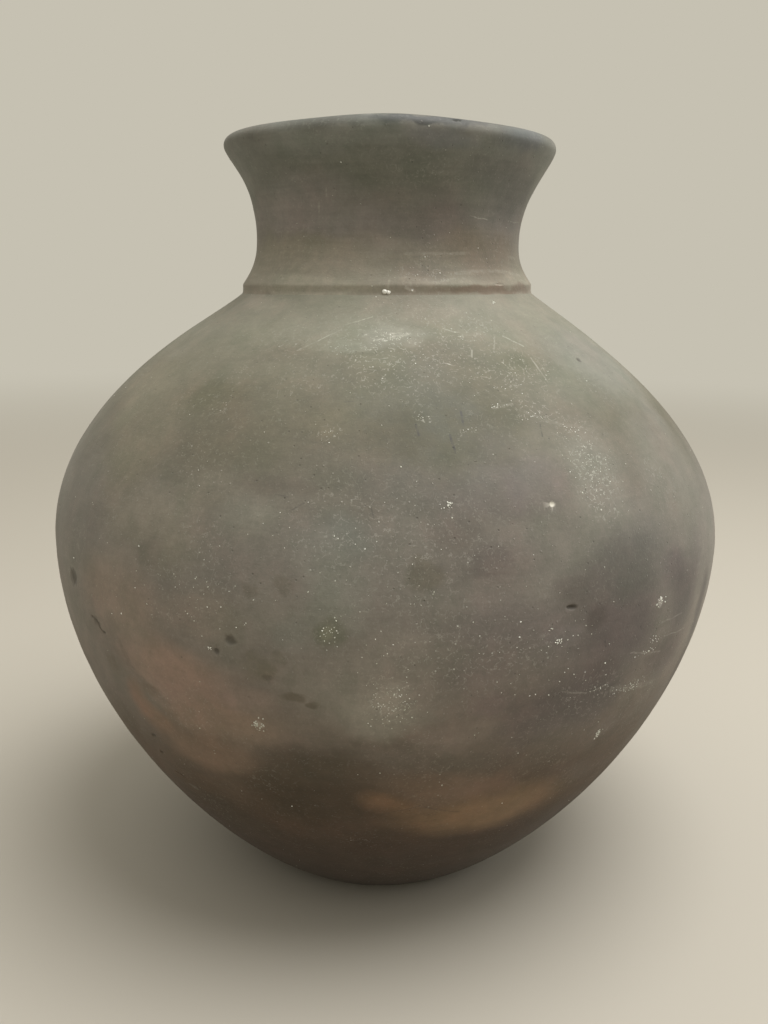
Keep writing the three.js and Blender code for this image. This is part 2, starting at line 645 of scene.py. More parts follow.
def wiggles(place, size, width, share):
    # thin curved lines, broken into short dashes
    bend = noiseAt(place, size, 2.0)
    lines = rise(bend, 0.5 - width, 0.5) * rise(bend, 0.5 + width, 0.5)
    gaps = noiseAt(vectorMaths("ADD", place, (0.5, 0.2, 0.7)), size * 0.6, 1.0)
    return lines * rise(gaps, 0.62 - share * 0.25, 0.66 - share * 0.25)


def specks(place, spacing, size, share):
    # round dots, in that share of the cells
    cells = Link.node("ShaderNodeTexVoronoi", {}, {"Vector": place, "Scale": 1 / spacing})
    lot = Link.node("ShaderNodeSeparateColor", {}, {"Color": cells.output("Color")})
    chosen = rise(lot, 1 - share, 1 - share + 0.02)
    radius = size / 2 / spacing
    return rise(cells, radius, radius * 0.5) * chosen


def scratch(place, start, end, width):
    # a thin line along the surface from start to end
    run = end - start
    fromStart = vectorMaths("SUBTRACT", place, start)
    along = vectorMaths("DOT_PRODUCT", fromStart, run / run.length_squared, output="Value")
    held = Link.node("ShaderNodeClamp", {}, {"Value": along})
    foot = Link.node("ShaderNodeVectorMath", {"operation": "SCALE"}, {0: run, "Scale": held})
    gap = vectorMaths("SUBTRACT", fromStart, foot)
    return rise(vectorMaths("LENGTH", gap, (0, 0, 0), output="Value"), width, width * 0.3)


def startClay(name):
    material = bpy.data.materials.new(name)
    material.use_nodes = True
    Link.tree = material.node_tree
    place = Link.node("ShaderNodeTexCoord", {}, {}, "Object")
    return material, place


def finishClay(material, colour, rough, relief, reliefDepth, uniform):
    # joins the worked-out finish to the shader, and sets what is the same all over
    shader = material.node_tree.nodes["Principled BSDF"]
    links = material.node_tree.links
    links.new(colour.socket, shader.inputs["Base Color"])
    links.new(rough.socket, shader.inputs["Roughness"])
    bump = Link.node("ShaderNodeBump", {}, {"Height": relief, "Distance": reliefDepth, "Strength": 1.0})
    links.new(bump.socket, shader.inputs["Normal"])
    for socket, value in uniform.items():
        shader.inputs[socket].default_value = value
    return material


def byHeight(place, stops):
    # colours that change up the vase, each at a height in mm
    height = Link.node("ShaderNodeSeparateXYZ", {}, {"Vector": place}, "Z")
    steps = [(level * mm / lipTop, tint(*shade)) for level, shade in stops]
    return Link.node("ShaderNodeValToRGB", {"stops": steps}, {"Fac": height / lipTop})


# Smoke-fired clay on the outside of both pieces
clayLook = {
    # how outlines wander, as size and reach
    "wandering": (26 * mm, 15 * mm),
    "ragged": (8 * mm, 7 * mm),
    "wavering": (5 * mm, 1.2 * mm),
    # where a mark starts to fade, as a share of its reach
    "cloudEdge": 0.25,
    "patchEdge": 0.45,
    "dustEdge": 0.1,
    # patterns, as size, detail, roughness and the range of light
    "blotch": (9 * mm, 4.0, 0.6, 0.925, 1.075),
    "mottle": (2.6 * mm, 2.0, 0.6, 0.96, 1.04),
    "grain": (0.8 * mm, 3.0, 0.7, 0.94, 1.06),
    "hue": (18 * mm, 5.0, 0.65),
    "rings": (1.8 * mm, 3.0, 0.6),
    "ringStretch": (0.08, 0.08, 1),
    "dustSize": 26 * mm,
    "burnishSize": 24 * mm,
    # specks, as spacing, size, share of the cells and strength
    "fineGrit": (1.4 * mm, 0.6 * mm, 0.3, 0.28),
    "coarseGrit": (3.0 * mm, 0.8 * mm, 0.2, 0.65),
    "openPores": (2.3 * mm, 0.8 * mm, 0.16, 0.35),
    # wiping marks, as size, width, share and strength
    "paleDashes": (2.4 * mm, 0.035, 0.5, 0.24),
    "darkDashes": (2.8 * mm, 0.03, 0.3, 0.14),
    "breaks": (1.5 * mm, 2.0),  # along a stroke
    "roughness": (0.56, 0.70),
    "grainRoughness": 0.12,
    "footRoughness": (110 * mm, 50 * mm, 0.22),  # starts, is in full, and how much is added
    "relief": 0.12 * mm,
    "specular": 0.35,
    "sheen": 0.07,
    "sheenRoughness": 0.45,
    "sheenTint": tint(800, 780, 700),
    "green": tint(940, 1010, 960),
    "mauve": tint(1060, 970, 990),
    "lipTopPaintedShade": 0.8,  # painted shade: the top of the lip, which faces the overhead light, is darkened
    "lipTopShadeReach": 3 * mm,
    "dust": (0.12, 0.47),  # least and most away from the dusty places
    "grit": tint(580, 570, 500),
    "pore": tint(40, 36, 30),
    "soot": tint(36, 30, 22),
    "chalk": tint(620, 590, 500),
    "scratch": tint(420, 410, 350),
    "hair": tint(35, 33, 28),
}


def smokedClay(name, stops, clouds, patches, dustings, strokes, hueShare, ringShare):
    material, place = startClay(name)
    look = clayLook
    wandering = warped(place, *look["wandering"])
    ragged = warped(place, *look["ragged"])
    colour = byHeight(wandering, stops)
    for bent, edge, marks in ((wandering, look["cloudEdge"], clouds), (ragged, look["patchEdge"], patches)):
        for where, across, up, strength, shade in marks.values():
            share = cloud(bent, where, across, up, edge, strength)
            colour = blendColour(share, colour, tint(*shade))

    # the smoke leaves the clay greener or more mauve, and darker in soft-edged patches
    hue = noiseAt(place, *look["hue"])
    colour = blendColour(rise(hue, 0.34, 0.5, hueShare, 0.0), colour, look["green"], "MULTIPLY")
    colour = blendColour(rise(hue, 0.5, 0.66, 0.0, hueShare), colour, look["mauve"], "MULTIPLY")
    blotch = noiseAt(place, *look["blotch"][:3])
    mottle = noiseAt(place, *look["mottle"][:3])
    rings = noiseAt(stretched(place, look["ringStretch"]), *look["rings"])
    grain = noiseAt(place, *look["grain"][:3])
    shade = rise(blotch, 0.3, 0.7, *look["blotch"][3:]) * rise(mottle, 0.3, 0.7, *look["mottle"][3:])
    shade = shade * rise(rings, 0.25, 0.75, 1 - ringShare, 1 + ringShare)
    shade = shade * rise(grain, 0.25, 0.75, *look["grain"][3:])
    height = Link.node("ShaderNodeSeparateXYZ", {}, {"Vector": place}, "Z")
    # painted shade on the lip's top, against the light from above
    shade = shade * rise(height, lipTop - look["lipTopShadeReach"], lipTop, 1.0, look["lipTopPaintedShade"])
    colour = blendColour(1.0, colour, grey(shade), "MULTIPLY")

    # pale grit, open pores and short wiping marks, thick in some places and rare in others
    dusty = rise(noiseAt(place, look["dustSize"], 3.0, 0.6), 0.45, 0.7, *look["dust"])
    for where, across, up, strength in dustings.values():
        dusty = dusty + cloud(wandering, where, across, up, look["dustEdge"], strength)
    apart = vectorMaths("ADD", place, (0.1, 0.2, 0.3))
    fineGrit = specks(place, *look["fineGrit"][:3])
    grit = specks(apart, *look["coarseGrit"][:3])
    pores = specks(apart, *look["openPores"][:3])
    dashes = wiggles(place, *look["paleDashes"][:3])
    darkDashes = wiggles(apart, *look["darkDashes"][:3])
    colour = blendColour(fineGrit * dusty * look["fineGrit"][3], colour, look["grit"])
    colour = blendColour(dashes * dusty * look["paleDashes"][3], colour, look["grit"])
    colour = blendColour(grit * dusty * look["coarseGrit"][3], colour, look["grit"])
    colour = blendColour(pores * look["openPores"][3], colour, look["pore"])
    colour = blendColour(darkDashes * dusty * look["darkDashes"][3], colour, look["pore"])

    # strokes and hairs break up along their length
    broken = rise(noiseAt(place, *look["breaks"]), 0.35, 0.6, 0.25, 1.0)
    wavering = warped(place, *look["wavering"])
    for start, end, width, strength, kind in strokes.values():
        points = alongWall(placeOf(start), placeOf(end))
        pieces = [scratch(wavering, *pair, width * mm) for pair in zip(points, points[1:])]
        line = pieces[0]
        for piece in pieces[1:]:
            line = maths("MAXIMUM", line, piece)
        colour = blendColour(line * broken * strength, colour, look[kind])

    soot = Link.node("ShaderNodeAttribute", {"attribute_name": "soot"}, {}, "Fac")
    chalk = Link.node("ShaderNodeAttribute", {"attribute_name": "chalk"}, {}, "Fac")
    colour = blendColour(soot, colour, look["soot"])
    colour = blendColour(chalk, colour, look["chalk"])

    # smoother where it was burnished, and quite dry towards the foot
    rough = rise(noiseAt(place, look["burnishSize"], 3.0), 0.3, 0.7, *look["roughness"])
    rough = rough + (grain - 0.5) * look["grainRoughness"]
    start, full, added = look["footRoughness"]
    rough = rough + rise(height, start, full, 0.0, added)
    relief = grain * 0.6 + rings * 0.4 + fineGrit * 0.5 + grit - pores
    uniform = {
        "Specular IOR Level": look["specular"],
        "Sheen Weight": look["sheen"],
        "Sheen Roughness": look["sheenRoughness"],
        "Sheen Tint": look["sheenTint"],
    }
    return finishClay(material, colour, rough, relief, look["relief"], uniform)


# Colour up the body, from the dark foot to the pale shoulder: height in mm, and shade in thousandths
bodyStops = [
    # towards the foot the stops are smoke, and also painted shade, darker than the pale floor's bounce
    # would leave it
    (0, (40, 26, 18)),
    (48, (48, 30, 19)),
    (68, (70, 45, 27)),
    (85, (86, 62, 41)),
    (99, (106, 84, 64)),
    (112, (138, 115, 91)),
    (126, (152, 131, 108)),
    (150, (154, 139, 118)),
    (164, (138, 125, 105)),
    (181, (118, 107, 86)),
    (190, (101, 90, 68)),
    (206, (91, 82, 56)),
    (216, (104, 96, 66)),
    (224, (120, 112, 80)),
    (233, (148, 141, 104)),
    (244, (166, 158, 121)),
]
# Smoke clouds, and some painted shade and highlight: where, reach across and up in mm, strength, and shade
# in thousandths
bodyClouds = {
    # pale clay, and painted highlight where the shoulder catches the overhead light
    "paleShoulderGlint": ((352, 326), 36, 8, 0.7, (162, 159, 121)),
    "paleUnderLedge": ((258, 304), 24, 5, 0.7, (205, 190, 147)),
    "duskShoulderRight": ((448, 330), 24, 6, 0.6, (132, 129, 92)),
    "oliveFront": ((425, 366), 46, 13, 0.85, (93, 87, 58)),
    "rightShoulder": ((600, 362), 46, 24, 0.9, (156, 154, 127)),
    "rightGreen": ((572, 392), 24, 13, 0.8, (123, 120, 89)),
    "farRight": ((652, 414), 14, 13, 0.7, (140, 136, 111)),
    "rightPale": ((570, 438), 30, 22, 0.7, (118, 109, 82)),
    "rightSide": ((664, 455), 32, 34, 0.85, (134, 125, 100)),
    # these two are silvery clay, and painted highlight where the right shoulder catches the overhead light
    "silverGlintGround": ((592, 464), 22, 19, 0.9, (150, 143, 115)),
    "silverGlintGroundLow": ((604, 506), 17, 13, 0.8, (152, 140, 115)),
    "leftPale": ((138, 446), 26, 28, 0.85, (124, 110, 77)),
    "leftHigh": ((126, 415), 15, 13, 0.7, (134, 119, 82)),
    "leftMiddle": ((190, 392), 15, 12, 0.7, (121, 110, 76)),
    "paleLeftHigh": ((208, 492), 17, 9, 0.7, (132, 118, 89)),
    "leftPaleLow": ((150, 524), 38, 18, 0.8, (158, 140, 108)),
    "leftShoulder": ((150, 380), 34, 16, 0.75, (141, 127, 89)),
    "leftTop": ((176, 352), 14, 6, 0.6, (160, 148, 113)),
    "duskShoulder": ((300, 357), 34, 6, 0.7, (110, 100, 71)),
    "leftOlive": ((216, 398), 20, 9, 0.85, (88, 80, 51)),
    "lowOlive": ((245, 445), 30, 14, 0.7, (92, 82, 55)),
    "paleOlive": ((326, 420), 13, 9, 0.7, (110, 97, 64)),
    "middleOlive": ((438, 422), 35, 20, 0.95, (60, 58, 34)),
    "brownMiddle": ((404, 434), 15, 12, 0.6, (76, 67, 44)),
    "duskRightMiddle": ((496, 456), 12, 9, 0.6, (73, 65, 45)),
    "paleUnder": ((384, 357), 14, 5, 0.6, (138, 133, 95)),
    "highOlive": ((512, 362), 10, 7, 0.7, (84, 84, 52)),
    "brownBand": ((282, 489), 22, 4, 0.7, (90, 77, 58)),
    "duskLeft": ((284, 507), 12, 6, 0.6, (108, 96, 75)),
    "greyLeft": ((248, 520), 15, 10, 0.8, (142, 134, 106)),
    "tealMiddle": ((350, 540), 14, 11, 0.8, (114, 116, 97)),
    "duskMiddle": ((410, 486), 31, 12, 0.8, (83, 76, 58)),
    "mauveBelly": ((495, 492), 30, 12, 0.8, (95, 82, 69)),
    "lavenderMiddle": ((516, 486), 9, 11, 0.5, (104, 88, 80)),
    "mauveHigh": ((546, 487), 14, 13, 0.8, (118, 103, 87)),
    "mauveMiddle": ((486, 560), 26, 16, 0.7, (112, 98, 82)),
    "paleCentre": ((325, 556), 17, 13, 0.7, (152, 144, 121)),
    "paleLeftMiddle": ((268, 612), 16, 12, 0.6, (178, 162, 135)),
    "mauveDark": ((457, 528), 14, 9, 0.8, (91, 78, 63)),
    "leftFlush": ((116, 600), 34, 23, 0.85, (210, 167, 131)),
    "lowFlush": ((170, 672), 36, 17, 0.9, (242, 168, 129)),
    "innerFlush": ((218, 722), 32, 15, 0.9, (213, 155, 114)),
    "flushEdge": ((158, 717), 16, 9, 0.7, (206, 128, 83)),
    "flushRim": ((138, 697), 10, 10, 0.7, (204, 122, 80)),
    "flushRight": ((250, 704), 13, 8, 0.75, (220, 169, 138)),
    "underFlush": ((208, 752), 32, 12, 0.85, (169, 115, 79)),
    "greyPale": ((196, 612), 22, 13, 0.8, (184, 158, 128)),
    "greenMiddle": ((330, 603), 15, 17, 0.9, (168, 160, 134)),
    "paleAround": ((358, 690), 35, 22, 0.9, (190, 171, 142)),
    "paleMiddle": ((382, 716), 19, 14, 0.9, (220, 202, 166)),
    "palest": ((392, 701), 9, 8, 0.7, (266, 240, 200)),
    "lavender": ((500, 625), 26, 12, 0.8, (138, 119, 107)),
    "paleBeside": ((290, 630), 10, 8, 0.6, (184, 172, 150)),
    "paleHigh": ((402, 646), 16, 8, 0.6, (200, 176, 149)),
    "duskInner": ((556, 636), 22, 16, 0.6, (124, 107, 98)),
    "duskLow": ((490, 670), 22, 12, 0.7, (136, 117, 102)),
    "mauveRight": ((622, 624), 32, 29, 1.0, (92, 77, 70)),
    "dimRight": ((634, 562), 27, 18, 0.9, (79, 74, 62)),
    "mauveRightLow": ((598, 694), 24, 15, 0.8, (92, 76, 68)),
    "lavenderRight": ((566, 632), 9, 6, 0.7, (143, 125, 116)),
    "rightEdge": ((696, 552), 9, 15, 0.7, (128, 110, 98)),
    "rightEdgeHigh": ((674, 571), 12, 12, 0.85, (88, 76, 69)),
    # these four are painted shade, darkening the right edge against the rim light and bright reflection it
    # would otherwise show
    "rightEdgeShadeLow": ((684, 594), 16, 22, 0.85, (74, 62, 56)),
    "rightEdgeShadeUnder": ((662, 656), 18, 16, 0.7, (84, 66, 57)),
    "rightRimShade": ((700, 606), 9, 24, 0.8, (48, 38, 32)),
    "rightRimShadeLow": ((676, 668), 10, 20, 0.8, (54, 38, 27)),
    "mauveUnderLeft": ((492, 706), 14, 8, 0.6, (124, 99, 90)),
    "rimDark": ((548, 784), 12, 6, 0.85, (60, 36, 22)),
    "besideSharpPit": ((584, 588), 16, 11, 0.8, (92, 79, 68)),
    "mauveUnder": ((540, 722), 27, 15, 0.9, (110, 90, 78)),
    "purpleLow": ((572, 694), 27, 19, 0.85, (92, 75, 68)),
    "rightUnder": ((566, 776), 24, 13, 0.7, (88, 62, 44)),
    "rimPale": ((606, 724), 12, 6, 0.8, (142, 114, 93)),
    # these three are smoke, and painted shade low on the body, darker than the pale floor's bounce would
    # leave it
    "smokeAndShadeLow": ((312, 800), 32, 22, 0.9, (46, 31, 17)),
    "smokeAndShadeCorner": ((314, 768), 27, 13, 0.85, (58, 44, 27)),
    "smokeAndShadeLeft": ((236, 816), 24, 15, 0.9, (48, 33, 20)),
    "brownRim": ((484, 811), 46, 18, 0.9, (182, 117, 65)),
    "brownLow": ((458, 786), 32, 12, 0.8, (150, 101, 69)),
    "brownLeftEnd": ((384, 804), 16, 8, 0.85, (146, 89, 49)),
    "paleLowMiddle": ((452, 733), 19, 9, 0.8, (170, 137, 112)),
    "midLow": ((392, 757), 20, 6, 0.6, (128, 105, 84)),
    "mauveRim": ((405, 765), 14, 7, 0.5, (128, 102, 82)),
    # smoke, and painted shade low behind, as at the front
    "smokeBehind": (("round", 186, 0.104), 60, 28, 0.85, (56, 40, 28)),
    "flushBehind": (("round", 214, 0.146), 46, 24, 0.8, (205, 153, 118)),
    "paleBehind": (("round", 160, 0.168), 40, 24, 0.8, (188, 172, 142)),
    "oliveBehind": (("round", 196, 0.206), 50, 16, 0.85, (68, 64, 44)),
    "mauveBehind": (("round", 142, 0.134), 34, 28, 0.8, (92, 78, 70)),
    # smoke, and painted shade low on the right side
    "smokeAndShadeSide": (("round", 100, 0.100), 36, 20, 0.8, (66, 50, 36)),
    "oliveSide": (("round", 108, 0.196), 40, 18, 0.8, (80, 75, 52)),
    "flushLeftSide": (("round", 262, 0.122), 40, 20, 0.8, (205, 150, 116)),
    "oliveLeftSide": (("round", 256, 0.190), 44, 18, 0.8, (84, 76, 52)),
}
# Darker spots and stains with a plain outline
bodyPatches = {
    "roundPatch": ((424.5, 576), 7.2, 7.2, 0.85, (101, 90, 68)),
    "leftPatch": ((150, 552), 8, 8, 0.7, (126, 110, 88)),
    "mauvePatch": ((490, 562), 9, 7, 0.7, (96, 82, 70)),
    "brownPatch": ((570, 584), 8, 5, 0.4, (88, 74, 63)),
    "duskPatch": ((597, 616), 6.5, 6, 0.8, (74, 61, 53)),
    "duskPatchLow": ((604, 668), 10, 7, 0.5, (80, 64, 56)),
    "greenSpot": ((329, 633), 7.0, 6.6, 0.75, (124, 120, 88)),
    "yellowSpot": ((328, 632), 3.0, 2.6, 0.35, (235, 229, 158)),
    "highSpot": ((250, 590), 4.0, 3.4, 0.7, (116, 103, 81)),
    "besideSpot": ((283, 586), 4.4, 4.4, 0.6, (118, 105, 82)),
    "lowSpot": ((265, 670), 4.8, 4.2, 0.8, (112, 100, 73)),
    "lowSpotLeft": ((248, 655), 3.4, 3.0, 0.7, (116, 104, 80)),
    "lowSpotRight": ((279, 659), 3.4, 3.4, 0.6, (120, 110, 84)),
    "trail": ((292, 698), 5.2, 2.8, 0.8, (106, 88, 63)),
    "trailEnd": ((313, 706), 4.0, 2.2, 0.8, (104, 86, 62)),
    "greySmudge": ((194, 786), 4.0, 2.0, 0.6, (115, 100, 83)),
    "crustGround": ((260, 725.5), 2.6, 2.6, 0.45, (380, 335, 280)),
    "brownMottle": ((150, 690), 7, 4, 0.5, (130, 95, 66)),
    "brownMottleLow": ((172, 712), 6, 3, 0.4, (130, 92, 62)),
    "brownMottleHigh": ((112, 662), 6, 5, 0.4, (120, 92, 64)),
    "greenBeside": ((258, 668), 8, 6, 0.5, (125, 114, 84)),
    "crustGroundRight": ((660.8, 601.4), 2.2, 2.2, 0.6, (340, 320, 290)),
    "ringGround": ((597.6, 733.8), 1.6, 1.9, 0.7, (330, 320, 260)),
    # these two are pale, silvery clay, and painted highlight where the shoulder catches the overhead light
    "silverGlintHaze": ((392, 336), 17, 5, 0.5, (200, 197, 159)),
    "silverGlintSmear": ((352, 347), 11, 3, 0.4, (200, 198, 158)),
    "patchLeftSide": (("round", 262, 0.160), 9, 7, 0.7, (104, 90, 72)),
    "patchBehind": (("round", 176, 0.150), 12, 9, 0.8, (86, 74, 60)),
    "patchHighBehind": (("round", 206, 0.182), 9, 7, 0.7, (92, 85, 62)),
    "patchRight": (("round", 112, 0.140), 10, 9, 0.7, (88, 75, 64)),
}
# Where dust and grit show most: where, reach across and up in mm, strength
bodyDust = {
    "shoulder": ((420, 350), 60, 22, 0.5),
    # pale grit, made thick here partly as painted glints of the overhead light on the shoulder
    "silverGlintShoulder": ((385, 338), 16, 5, 1.0),
    "rightShoulder": ((520, 375), 26, 14, 0.5),
    # these two are pale grit, made thick partly as painted glints of the overhead light on the right
    # shoulder
    "silverGlintRight": ((586, 456), 17, 18, 1.1),
    "silverGlintRightLow": ((604, 500), 13, 12, 1.0),
    "middle": ((400, 560), 52, 42, 0.3),
    "roundPatch": ((424.5, 576), 8, 8, -0.3),  # hardly any
    "paleMark": ((421, 418), 5, 2.2, 1.4),
    "paleMarkRight": ((467, 430), 5, 2.6, 1.4),
    "paleOlive": ((330, 432), 8, 4, 0.8),
    "chain": ((530, 412), 18, 5, 0.9),
    "leftMiddle": ((190, 590), 26, 20, 0.4),
    "lowMiddle": ((470, 660), 40, 26, 0.45),
    "palest": ((392, 700), 14, 14, 0.9),
    "low": ((580, 700), 26, 18, 0.5),
    "behind": (("round", 180, 0.150), 60, 40, 0.6),
    "besideBehind": (("round", 132, 0.180), 36, 30, 0.6),
    "leftBehind": (("round", 236, 0.130), 36, 30, 0.5),
}
# Strokes and hairs: from, to, half width in mm, strength and kind
bodyStrokes = {
    "shoulderStroke": ((345, 325), (372, 317), 0.4, 0.5, "scratch"),
    "shoulderStrokeLow": ((318, 341), (342, 329), 0.4, 0.3, "scratch"),
    "shoulderShade": ((330, 335), (341, 329), 0.3, 0.3, "hair"),
    "shoulderDab": ((443, 328), (455, 332), 0.5, 0.45, "scratch"),
    "shoulderDabEnd": ((455, 332), (464, 333), 0.3, 0.3, "scratch"),
    "shortStroke": ((445, 363), (452, 365), 0.35, 0.7, "scratch"),
    "paleDash": ((374, 359), (388, 358), 0.3, 0.35, "scratch"),
    "lowDash": ((364, 369), (376, 370), 0.3, 0.3, "scratch"),
    "highStroke": ((503, 336), (523, 346), 0.5, 0.32, "scratch"),
    "longStroke": ((531, 358), (543, 375), 0.5, 0.32, "scratch"),
    "longStrokeEnd": ((543, 375), (548, 382), 0.4, 0.25, "scratch"),
    "besideStroke": ((535, 356), (549, 378), 0.3, 0.15, "scratch"),
    "uprightStroke": ((494, 336), (494, 349), 0.4, 0.18, "scratch"),
    "uprightDab": ((472, 350), (472, 357), 0.5, 0.3, "scratch"),
    "chainLeft": ((494, 408), (510, 404), 0.9, 0.15, "scratch"),
    "chainMiddle": ((520, 410), (547, 421), 1.0, 0.07, "scratch"),
    "chainRight": ((550, 422), (596, 431), 1.0, 0.07, "scratch"),
    # these two are silvery smears, and painted highlight where the shoulder catches the overhead light
    "silverGlintSmearLow": ((383, 340), (409, 334), 1.3, 0.3, "scratch"),
    "silverGlintSmearHigh": ((386, 334), (400, 333), 0.5, 0.35, "scratch"),
    "streakLow": ((564, 692), (586, 693), 0.5, 0.2, "scratch"),
    "streakRise": ((590, 692), (606, 685), 0.6, 0.25, "scratch"),
    "streak": ((612, 689), (652, 682), 1.8, 0.15, "scratch"),
    "streakAbove": ((630, 653), (660, 651), 0.5, 0.25, "scratch"),
    "sideLine": ((662, 622), (682, 613), 0.4, 0.25, "scratch"),
    "sideLineLow": ((664, 636), (684, 628), 0.4, 0.25, "scratch"),
    "brownArcLeft": ((378, 815), (420, 806), 0.7, 0.25, "hair"),
    "brownArcRight": ((420, 806), (458, 812), 0.7, 0.25, "hair"),
    "hairHigh": ((461, 411), (463, 425), 0.6, 0.9, "hair"),
    "hairLow": ((450, 435), (455, 453), 0.65, 0.95, "hair"),
    "hairLeft": ((416, 424), (419, 435), 0.6, 0.85, "hair"),
    "hairMiddle": ((540, 424), (542, 436), 0.4, 0.5, "hair"),
    "hairUnder": ((372, 508), (373, 518), 0.35, 0.4, "hair"),
    "poreRight": ((641, 626), (642, 629), 0.5, 0.6, "hair"),
    "poreRightLow": ((605, 641), (606, 646), 0.45, 0.6, "hair"),
    "shoulderStrokeEnd": ((297, 351), (318, 341), 0.4, 0.25, "scratch"),
    "lowBandHair": ((276, 494), (288, 497), 0.4, 0.4, "hair"),
    "lowBandHairRight": ((292, 510), (304, 503), 0.4, 0.35, "hair"),
    "mottleStreak": ((128, 664), (168, 703), 2.4, 0.16, "hair"),
    "mottleStreakLow": ((118, 640), (134, 668), 1.6, 0.18, "hair"),
    "hairShort": ((368, 372), (377, 370), 0.3, 0.35, "hair"),
    "faintHair": ((345, 402), (356, 401), 0.3, 0.35, "hair"),
    "strokeBehind": (("round", 184, 0.222), ("round", 192, 0.218), 0.4, 0.5, "scratch"),
    "strokeLowBehind": (("round", 168, 0.118), ("round", 176, 0.116), 0.8, 0.45, "scratch"),
    "hairBehind": (("round", 203, 0.190), ("round", 203, 0.183), 0.25, 0.7, "hair"),
    "strokeSide": (("round", 126, 0.172), ("round", 132, 0.168), 0.4, 0.5, "scratch"),
}
bodyClay = smokedClay(
    "bodyClay", bodyStops, bodyClouds, bodyPatches, bodyDust, bodyStrokes, hueShare=0.5, ringShare=0.03
)

neckStops = [
    (247, (186, 166, 128)),
    (252, (206, 188, 144)),
    (259, (154, 138, 103)),
    (266, (150, 134, 108)),
    (274, (140, 126, 109)),
    (281, (136, 128, 107)),
    (287, (136, 134, 111)),
    (293, (144, 144, 121)),
    (300, (152, 154, 133)),
    # the two top stops are darkened: painted shade on the lip's top, against the light from above
    (304, (128, 127, 108)),
    (307, (98, 94, 77)),
]
neckClouds = {
    "paleLeft": ((300, 186), 34, 8, 0.85, (164, 158, 140)),
    "mauveLeft": ((300, 216), 44, 13, 0.95, (198, 179, 161)),
    "duskMiddle": ((440, 222), 20, 9, 0.7, (122, 107, 91)),
    "paleMiddle": ((372, 242), 15, 6, 0.7, (190, 169, 139)),
    "duskLow": ((434, 272), 18, 4.5, 0.8, (134, 115, 85)),
    "greyUnderLip": ((388, 138), 24, 4, 0.6, (172, 180, 161)),
    "yellowLeft": ((298, 258), 44, 11, 0.95, (210, 191, 149)),
    "yellowLow": ((300, 282), 34, 4, 0.85, (236, 217, 169)),
    "duskRight": ((516, 198), 27, 16, 0.85, (101, 96, 84)),
    "duskRightHigh": ((504, 168), 24, 9, 0.8, (121, 117, 103)),
    "brownRight": ((486, 248), 31, 12, 0.95, (123, 101, 72)),
    "blueLip": ((445, 140), 20, 4, 0.8, (158, 164, 160)),
    # painted shade: darkens the right of the lip against the light and reflection it catches from above
    "lipRightPaintedShade": ((530, 138), 22, 6, 0.9, (90, 96, 94)),
    "darkMiddle": ((372, 178), 10, 6, 0.6, (130, 130, 106)),
    "paleLip": ((318, 137), 36, 6, 0.9, (188, 191, 168)),
    "smokeBehind": (("round", 190, 0.280), 34, 12, 0.8, (98, 91, 74)),
    "paleBehind": (("round", 150, 0.262), 26, 9, 0.8, (196, 176, 142)),
    "mauveSide": (("round", 240, 0.270), 24, 10, 0.8, (172, 150, 130)),
}
neckPatches = {
    # the first two are painted shade, darkening the lip's top against the light from above
    "lipTopShadeLeft": ((345, 119.5), 40, 3, 0.6, (96, 100, 85)),
    "lipTopShadeRight": ((437, 119), 30, 2.4, 1.0, (58, 60, 55)),
    "ledgeMiddle": ((444, 288), 12, 2.6, 0.5, (168, 142, 106)),
    "lipSmudge": ((455, 126), 7, 2.4, 0.6, (100, 102, 94)),
    "brownLedge": ((486, 289), 26, 2.6, 0.9, (158, 120, 88)),
    "brownLedgeEnd": ((522, 288), 14, 2.6, 0.8, (148, 114, 84)),
    "paleLedge": ((298, 290), 36, 2.6, 0.9, (246, 226, 180)),
    "glazeSmear": ((410, 289), 2.0, 1.2, 0.35, (420, 400, 340)),
}
neckDust = {
    "ledge": ((430, 276), 24, 6, 0.3),
}
neckStrokes = {
    "paleLine": ((406, 253.5), (450, 253.5), 0.7, 0.13, "scratch"),
    "paleLineRight": ((450, 253.5), (515, 259), 0.9, 0.13, "scratch"),
    "shadeLine": ((412, 257), (436, 257), 0.6, 0.14, "hair"),
    "shadeLineRight": ((440, 258), (514, 263.5), 0.6, 0.1, "hair"),
    "burnishHigh": ((330, 236), (420, 238), 0.7, 0.08, "hair"),
    "burnishPale": ((340, 240), (510, 244), 0.8, 0.06, "scratch"),
    "burnishLow": ((420, 267), (520, 270), 0.7, 0.1, "hair"),
    "burnishLowPale": ((456, 273.5), (520, 276), 1.0, 0.13, "scratch"),
    "burnishLeft": ((262, 262), (350, 264), 0.6, 0.06, "scratch"),
    # a pale burnished line along the ledge's arris, partly painted highlight where the arris catches the
    # light from above
    "aboveLedge": ((438, 282.5), (528, 284), 0.6, 0.16, "scratch"),
    "beadSmear": ((389.5, 280), (388, 287), 0.8, 0.18, "scratch"),
    "besideSmear": ((410, 283), (412, 290), 0.9, 0.15, "scratch"),
    "rightScratch": ((471, 216), (488, 220), 0.3, 0.35, "scratch"),
    "farScratch": ((508, 221), (519, 223), 0.3, 0.25, "scratch"),
    "leftStreak": ((319, 202), (319, 212), 0.6, 0.2, "scratch"),
    "highStreak": ((326, 188), (326, 196), 0.5, 0.2, "scratch"),
}
neckClay = smokedClay(
    "neckClay", neckStops, neckClouds, neckPatches, neckDust, neckStrokes, hueShare=0.4, ringShare=0.06
)


# Plainer finishes
def upTheWall(place):
    # for throwing rings, which waver a little on their way round
    return stretched(place, (0.15, 0.15, 1))


def outFromAxis(place):
    # for the rings that the trimming tool leaves under the foot
    radius = vectorMaths("LENGTH", stretched(place, (1, 1, 0)), (0, 0, 0), output="Value")
    return Link.node("ShaderNodeCombineXYZ", {}, {"X": radius})


